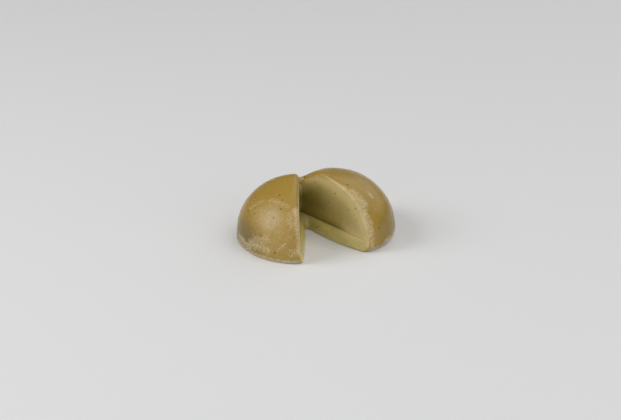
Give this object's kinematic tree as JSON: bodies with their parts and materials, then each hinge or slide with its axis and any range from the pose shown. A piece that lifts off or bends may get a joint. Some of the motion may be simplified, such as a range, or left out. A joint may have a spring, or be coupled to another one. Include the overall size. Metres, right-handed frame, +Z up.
{
  "type": "mochi rice cake",
  "caption": "Soft round green tea mochi rice cake with a matcha paste filling, cut from the front and laid open like a book, its lobes still joined at the back.",
  "frame": {"origin": "on the surface that the cake stands on, under the middle of its box", "axes": "+Z up; the cut opens towards -Y; the lobes lie side by side along X, the left one at -X"},
  "size_m": [0.0722, 0.056, 0.03],
  "materials": {
    "rice_dough": "soft satin rice dough with a bloom of starch",
    "matcha_paste": "matt, finely grained paste"
  },
  "bodies": {
    "root": {"rice_dough": "rice_dough", "matcha_paste": "matcha_paste"}
  },
  "joints": []
}
